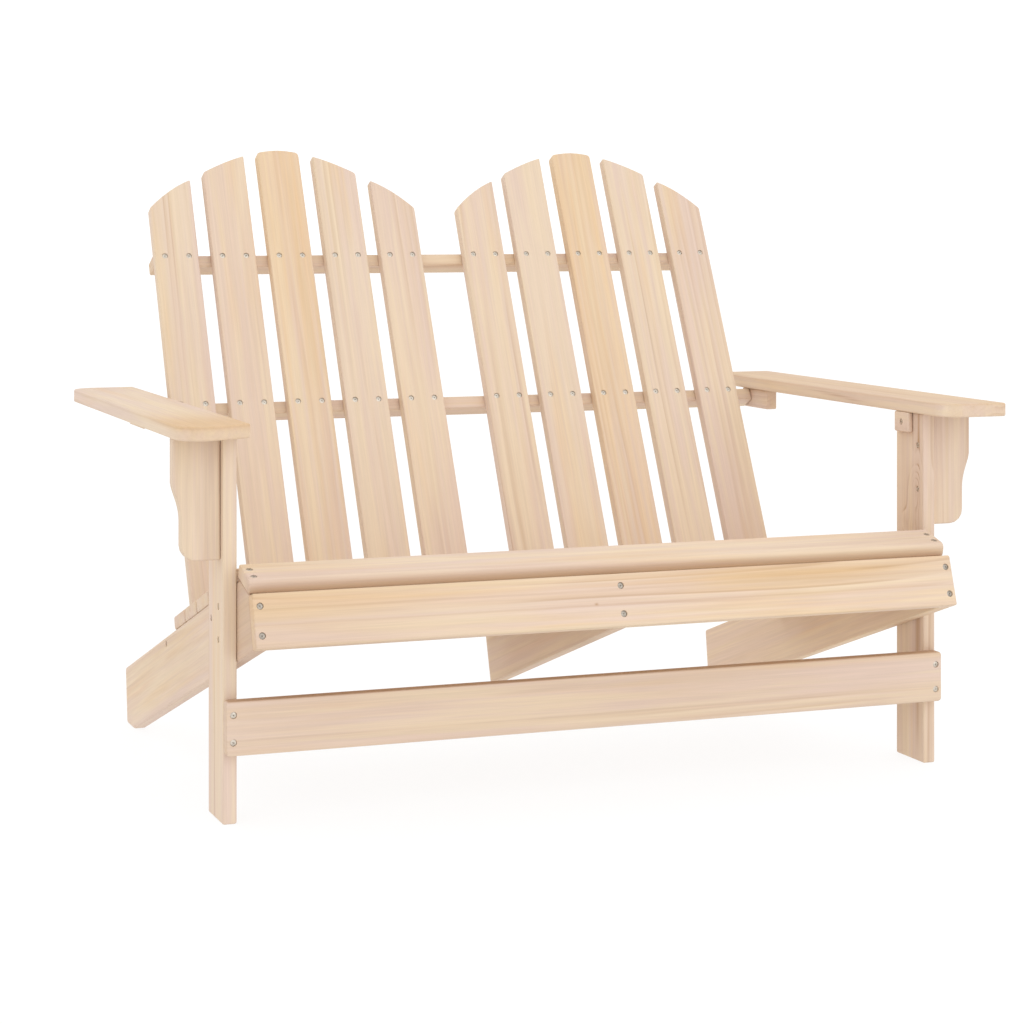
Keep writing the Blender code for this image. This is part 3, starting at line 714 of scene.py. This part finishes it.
def weigh_faces(board):
    """Shade large faces flat and the narrow ones between them round."""
    weighted = board.modifiers.new("even faces", "WEIGHTED_NORMAL")
    weighted.keep_sharp = True
    weighted.weight = LARGE_FACES_FIRST


smooth_boards = smoothing_group()
print("nodes that smooth a board:", len(smooth_boards.nodes))

# %% [markdown]
# ## Tools for working by hand
# From here on pieces are made with the same operators that the menus offer. An operator
# acts on all that is selected, so a helper first selects just the things it is meant for.


# %% Selecting, cutting, copying and joining
def select_only(*things):
    """Select these things and no others, with the last of them active."""
    bpy.ops.object.select_all(action="DESELECT")
    for thing in things:
        thing.select_set(True)
    bpy.context.view_layer.objects.active = things[-1]


def apply_modifiers(thing):
    """Write all of a thing's modifiers into its mesh."""
    select_only(thing)
    for modifier in list(thing.modifiers):
        bpy.ops.object.modifier_apply(modifier=modifier.name)


def cut_away(thing, cutter):
    """Take the shape of a cutter out of a thing, and remove the cutter."""
    cut = thing.modifiers.new("cut", "BOOLEAN")
    cut.object = cutter
    cut.solver = "EXACT"
    apply_modifiers(thing)
    bpy.data.objects.remove(cutter)


def copy_of(thing, name, matrix):
    """A copy with its own mesh, put in place, with that place written into the mesh."""
    select_only(thing)
    bpy.ops.object.duplicate()
    made = bpy.context.object
    made.name = name
    made.matrix_world = matrix
    bpy.ops.object.transform_apply(location=True, rotation=True, scale=True)
    return made


def joined(things, name):
    """One object of several, under a new name."""
    select_only(*things)
    if len(things) > 1:
        bpy.ops.object.join()
    made = bpy.context.object
    made.name = name
    return made


# %% [markdown]
# ## A countersunk screw
# The bench is held by zinc-plated wood screws with a flat head, a cone under it and a cross
# in its top. A screw could be a turned profile. It is drawn out of a disc here instead: the
# disc is pulled down into the rim, narrowed into the cone, pulled down into the shank and
# narrowed into the point. Two tapered blades then cut the cross.

# %% Sizes of the screws
CLEAT_SCREW = 0.022            # lengths
SLAT_SCREW = 0.030
LEG_SCREW = 0.034
LONG_SCREW = 0.045
HEAD_RADIUS = 0.0042
SHANK_RADIUS = 0.0022
RIM = 0.0006                   # height of the head's upright edge
RIM_ROUND = 0.00025
CONE = 0.0029
POINT = 0.0040
POINT_SHARE = 0.15             # of the shank's width, at the tip
SCREW_SIDES = 24
CROSS_REACH = 0.0026
CROSS_WIDTH = 0.0011
CROSS_DEPTH = 0.0019
CROSS_SHARE = 0.45             # of a blade's width and length, at its lower end
RIM_SHARP = radians(60.0)
SCREW_SHARP = radians(40.0)
print("screw head: %.1f mm" % (2000 * HEAD_RADIUS))


# %% Drawing down, and the cross
def draw_out(depth, width=1.0):
    """Pull the selected face down, and narrow or widen it."""
    bpy.ops.mesh.extrude_region_move(TRANSFORM_OT_translate={"value": (0.0, 0.0, -depth)})
    bpy.ops.transform.resize(value=(width, width, 1.0))


def cross_blade(turn):
    """One blade of the cross, narrower at its lower end."""
    bpy.ops.object.select_all(action="DESELECT")
    bpy.ops.mesh.primitive_cube_add(size=2.0)
    blade = bpy.context.object
    blade.scale = (CROSS_REACH, CROSS_WIDTH / 2, CROSS_DEPTH)
    blade.rotation_euler = (0.0, 0.0, turn)
    bpy.ops.object.transform_apply(location=False, rotation=True, scale=True)
    for vertex in blade.data.vertices:
        vertex.select = vertex.co.z < 0
    bpy.ops.object.mode_set(mode="EDIT")
    bpy.ops.transform.resize(value=(CROSS_SHARE, CROSS_SHARE, 1.0))
    bpy.ops.object.mode_set(mode="OBJECT")
    return blade


# %% Make a screw of each length
def make_screw(length):
    """A screw that points down, with the middle of its head's top at the origin."""
    bpy.ops.object.select_all(action="DESELECT")
    bpy.ops.mesh.primitive_circle_add(vertices=SCREW_SIDES, radius=HEAD_RADIUS, fill_type="NGON")
    screw = bpy.context.object
    screw.name = "screw_%d" % (length * 1000)
    bpy.ops.object.mode_set(mode="EDIT")
    bpy.ops.mesh.select_all(action="SELECT")
    draw_out(RIM)
    draw_out(CONE, SHANK_RADIUS / HEAD_RADIUS)
    draw_out(length - RIM - CONE - POINT)
    draw_out(POINT, POINT_SHARE)
    bpy.ops.mesh.select_all(action="SELECT")
    bpy.ops.mesh.normals_make_consistent(inside=False)
    bpy.ops.object.mode_set(mode="OBJECT")
    rim = screw.modifiers.new("rim", "BEVEL")
    rim.width = RIM_ROUND
    rim.segments = 2
    rim.limit_method = "ANGLE"
    rim.angle_limit = RIM_SHARP
    apply_modifiers(screw)
    for turn in (0.0, QUARTER):
        cut_away(screw, cross_blade(turn))
    select_only(screw)
    bpy.ops.object.shade_smooth_by_angle(angle=SCREW_SHARP)
    return screw


screw_masters = {length: make_screw(length) for length in (CLEAT_SCREW, SLAT_SCREW, LEG_SCREW, LONG_SCREW)}
print("faces of one screw:", len(screw_masters[LEG_SCREW].data.polygons))

# %% [markdown]
# ## Zinc
# Zinc plating that has lain about is a dull, warm grey, cloudy and brighter where the
# driver has rubbed it. A plain metal would look like new chrome, so its tone and its
# roughness are clouded by noise at the size of the head. The screws of the apron are darker
# than the others in the photograph, and get a darker copy of the plating as painted shade.

# %% Zinc plating
ZINC_CLOUDS = 420.0            # per metre
ZINC_DETAIL = 3.0
ZINC_MIX = (0.35, 0.65)        # noise where it is dark and where it is bright
ZINC_ROUGHNESS = (0.3, 0.7, 0.34, 0.50)    # low and high noise, and the roughness at each
ZINC_METAL = 0.95
ZINC_TONES = ((0.50, 0.45, 0.385, 1.0), (0.72, 0.66, 0.575, 1.0))      # dark and bright
# A darker copy of the tones: painted shade for the screws of the apron.
SHADED_ZINC_TONES = ((0.28, 0.25, 0.215, 1.0), (0.46, 0.415, 0.36, 1.0))


def zinc_plating(name, dark, bright):
    """Cloudy zinc between two tones."""
    material = bpy.data.materials.new(name)
    material.use_nodes = True
    tree = material.node_tree
    shader = tree.nodes["Principled BSDF"]
    place = add_node(tree, "ShaderNodeTexCoord").outputs["Object"]
    inputs = {"Vector": place, "Scale": ZINC_CLOUDS, "Detail": ZINC_DETAIL}
    cloud = add_node(tree, "ShaderNodeTexNoise", inputs).outputs[0]
    colour = mix_colours(tree, fade(tree, cloud, *ZINC_MIX), dark, bright)
    tree.links.new(colour, shader.inputs["Base Color"])
    tree.links.new(fade(tree, cloud, *ZINC_ROUGHNESS), shader.inputs["Roughness"])
    shader.inputs["Metallic"].default_value = ZINC_METAL
    return material


zinc = zinc_plating("zinc_plating", *ZINC_TONES)
# The darker copy paints shade on the screws of the apron.
shaded_zinc = zinc_plating("dull_zinc_plating", *SHADED_ZINC_TONES)
for master in screw_masters.values():
    master.data.materials.append(zinc)
print("tones of zinc:", zinc.name, "and", shaded_zinc.name)

# %% [markdown]
# ## Where the large screws sit
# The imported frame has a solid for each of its 24 large screws, so their places needn't be
# typed in: they are read from the solids. Every place is a point on the wood's face, in the
# frame of its board, with the way in which the screw is driven.

# %% Places of the large screws
CAD_SINK = 0.0010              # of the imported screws' heads, below the wood
LEFT = Vector((-1.0, 0.0, 0.0))
RIGHT = Vector((1.0, 0.0, 0.0))
BACKWARD = Vector((0.0, 1.0, 0.0))
DOWN = Vector((0.0, 0.0, -1.0))
UP = Vector((0.0, 0.0, 1.0))


def packed_place(node, place_frame, driven):
    """The point on the wood's face above the head of a packed screw."""
    low, high = local_box(node, place_frame)
    middle = (low + high) / 2
    half_length = abs((high - low).dot(driven)) / 2
    return middle - driven * (half_length + CAD_SINK)


large = {}                     # by group: the node, its frame, the way it is driven and its length
for side, outward in (("left", LEFT), ("right", RIGHT)):
    large["leg_%s_screws" % side] = [
        ("screw_leg_%s_%d" % (side, number), floor_frame, -outward, LEG_SCREW) for number in (1, 2, 3)]
    large["stretcher_%s_screws" % side] = [
        ("screw_stretcher_%s_%d" % (side, number), floor_frame, BACKWARD, LONG_SCREW) for number in (1, 2)]
    large["bracket_%s_screws" % side] = [
        ("screw_bracket_%s_%d" % (side, number), floor_frame, outward, LONG_SCREW) for number in (1, 2)]
    large["leg_cleat_%s_screw" % side] = [("screw_cleat_" + side, floor_frame, outward, CLEAT_SCREW)]
    large["stringer_%s_screw" % side] = [("screw_rail_" + side, back_frame, -outward, LONG_SCREW)]
for side in ("left", "middle", "right"):
    large["apron_%s_screws" % side] = [
        ("screw_apron_%s_%d" % (side, number), seat_frame, BACKWARD, LONG_SCREW) for number in (1, 2)]
print("large screws:", sum(len(screws) for screws in large.values()))

# %% [markdown]
# ## Driving them
# Each screw is a copy of the master of its length, turned the way it is driven, spun by
# chance as a hand would leave it, and sunk below the wood. The screws of one joint are then
# joined into one piece, which stands for their solids.

# %% Drive the large screws
SINK = 0.0012                  # of a head's top, below the wood


def screw_matrix(place_frame, place, driven, spin):
    """Where a screw goes that is drawn pointing down, with its head's top at the origin."""
    turn = DOWN.rotation_difference(driven).to_matrix().to_4x4()
    spun = Matrix.Rotation(spin, 4, "Z")
    return place_frame @ Matrix.Translation(place) @ turn @ spun @ Matrix.Translation((0.0, 0.0, -SINK))


def drive(group, spots, nodes=()):
    """Drive screws at (frame, place, driven, length) and join them into one piece."""
    chance = random.Random(group)
    made = []
    for number, (place_frame, place, driven, length) in enumerate(spots):
        matrix = screw_matrix(place_frame, place, driven, chance.uniform(0.0, QUARTER))
        made.append(copy_of(screw_masters[length], "%s_%d" % (group, number), matrix))
    piece = joined(made, group)
    # The screws of the apron get the darker plating: painted shade.
    if group.startswith("apron"):
        piece.data.materials[0] = shaded_zinc
    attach(piece, "root")
    if nodes:
        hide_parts(*nodes)


for group in sorted(large):
    spots = [
        (place_frame, packed_place(node, place_frame, driven), driven, length)
        for node, place_frame, driven, length in large[group]]
    drive(group, spots, [screw[0] for screw in large[group]])
print("groups of large screws:", len(large))

# %% [markdown]
# ## Where the small screws sit
# The small screws of the slats and cleats have no solids. Their places are worked out from
# the boards that they hold. A back slat has a pair at each rail that it crosses. A seat slat
# has a pair at each outer stringer, one screw near either edge. The cleats under the arms
# have two from below.

# %% Places of the small screws
RAIL_ROWS = (0.8125, 0.5642, 0.2041)       # of screws, from the floor along the back slats
BACK_REACH = 0.019             # from a back slat's middle to each screw of a pair
SEAT_SHARE = 0.62              # the same on a seat slat, as a share of its half width
NOSE_ROW = 0.02525             # from the nose slat's front edge to the middle of its pairs
NOSE_REACH = 0.01125           # from there to each screw
CLEAT_REACH = 0.028            # from an arm cleat's middle to each of its screws
stringer_low, stringer_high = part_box("stringer_right")
stringer_middle = (stringer_low.x + stringer_high.x) / 2

small = {}                     # by board: a screw's frame, its place, the way it is driven, its length
for number in range(1, 11):
    name = "back_slat_%d" % number
    low, high = local_box(name, back_frame)
    middle = (low.x + high.x) / 2
    small[name] = [
        (back_frame, Vector((middle + way * BACK_REACH, 0.0, row)), BACKWARD, SLAT_SCREW)
        for row in RAIL_ROWS for way in (-1, 1)]
for number in range(1, 7):
    name = "seat_slat_%d" % number
    place_frame = nose_frame if number == 1 else seat_frame
    low, high = local_box(name, place_frame)
    middle = NOSE_ROW if number == 1 else (low.y + high.y) / 2
    reach = NOSE_REACH if number == 1 else (high.y - low.y) / 2 * SEAT_SHARE
    small[name] = [
        (place_frame, Vector((side * stringer_middle, middle + way * reach, high.z)), DOWN, SLAT_SCREW)
        for side in (-1, 1) for way in (-1, 1)]
for side in ("left", "right"):
    low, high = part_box("arm_cleat_" + side)
    middle = (low + high) / 2
    small["arm_cleat_" + side] = [
        (floor_frame, Vector((middle.x, middle.y + way * CLEAT_REACH, low.z)), UP, LONG_SCREW)
        for way in (-1, 1)]
print("small screws:", sum(len(spots) for spots in small.values()))

# %% [markdown]
# ## Boards with sunk screws
# The heads of the small screws lie below the wood, as in the photograph, so the boards need
# real holes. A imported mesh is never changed. Each of these boards is therefore a copy of its
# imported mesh: its loose triangles are merged, its flat faces made whole, and a joined set of
# short cylinders is cut out of it. Painted dark rings would be quicker, but they would slide
# off the screws as soon as the bench is seen from the side.

# %% A short cylinder that cuts a hole
HOLE_RADIUS = 0.0045
HOLE_DEPTH = 0.0046
HOLE_SIDES = 28

bpy.ops.object.select_all(action="DESELECT")
bpy.ops.mesh.primitive_cylinder_add(vertices=HOLE_SIDES, radius=HOLE_RADIUS, depth=2 * HOLE_DEPTH)
hole_master = bpy.context.object
hole_master.name = "hole_cutter"
print("hole: %.1f mm wide" % (2000 * HOLE_RADIUS))

# %% Copy, merge and bore the boards
FLAT = radians(0.2)            # faces that differ by less are made one


def merged_copy(node):
    """A copy of a packed board with its triangles merged and its flat faces whole."""
    board = copy_of(boards[node], node + "_bored", Matrix.Identity(4))
    board.modifiers.clear()
    bpy.ops.object.mode_set(mode="EDIT")
    bpy.ops.mesh.select_all(action="SELECT")
    bpy.ops.mesh.remove_doubles(threshold=MERGE)
    bpy.ops.mesh.dissolve_limited(angle_limit=FLAT)
    bpy.ops.object.mode_set(mode="OBJECT")
    return board


def bore(node, spots):
    """Replace a packed board by a copy with a hole for each of its small screws."""
    board = merged_copy(node)
    holes = [
        copy_of(hole_master, "%s_hole_%d" % (node, number), screw_matrix(place_frame, place, driven, 0.0))
        for number, (place_frame, place, driven, _) in enumerate(spots)]
    cut_away(board, joined(holes, node + "_holes"))
    select_only(board)
    bpy.ops.object.shade_smooth_by_angle(angle=SHARP)
    weigh_faces(board)
    apply_modifiers(board)
    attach(board, "root")
    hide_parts(node)


for name, spots in small.items():
    bore(name, spots)
    drive(name + "_screws", spots)
print("bored boards:", len(small))

# %% [markdown]
# ## The boards that stay
# The legs, arms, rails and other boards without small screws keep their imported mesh. The two
# modifiers from above smooth them, and they stay on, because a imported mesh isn't changed.

# %% Smooth the boards that stay
for name in wooden:
    if name not in small:
        modifier = boards[name].modifiers.new("joined and smooth", "NODES")
        modifier.node_group = smooth_boards
        weigh_faces(boards[name])
print("packed boards smoothed:", len(wooden) - len(small))

# %% [markdown]
# ## Tidy up
# The masters have done their work, so they are removed.

# %% Finish
for master in [hole_master, *screw_masters.values()]:
    bpy.data.objects.remove(master)
